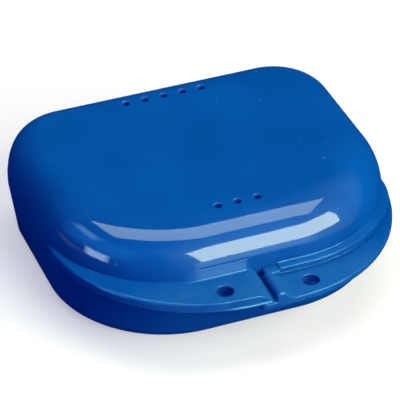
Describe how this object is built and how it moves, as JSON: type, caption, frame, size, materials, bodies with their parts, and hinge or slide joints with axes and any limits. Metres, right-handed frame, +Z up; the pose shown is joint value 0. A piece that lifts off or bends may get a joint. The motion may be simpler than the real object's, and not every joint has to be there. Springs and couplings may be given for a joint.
{
  "type": "orthodontic retainer case",
  "caption": "Hinged clamshell case for a dental retainer, with a vented pillow-shaped lid, a deep tray, side-by-side thumb tabs and a snap latch post.",
  "frame": {"origin": "centre of the overall box, on the underside that the case rests on", "axes": "+X along the hinge to the right seen from the tabs, -Y towards the thumb tabs, +Z up through the lid"},
  "size_m": [0.082, 0.0816, 0.0269],
  "materials": {
    "moulded_blue": "glossy injection-moulded polypropylene, royal blue, with fine dust specks and rubbing marks",
    "pin_steel": "drawn steel wire pin"
  },
  "bodies": {
    "base": {"base": "moulded_blue", "hinge_pin": "pin_steel"},
    "lid": {"lid": "moulded_blue"}
  },
  "joints": [
    {"name": "lid_hinge", "type": "hinge", "parent": "base", "child": "lid", "pos_m": [0, 0.03882, 0.0147], "axis": [-1, 0, 0], "range_deg": [0, 180]}
  ]
}
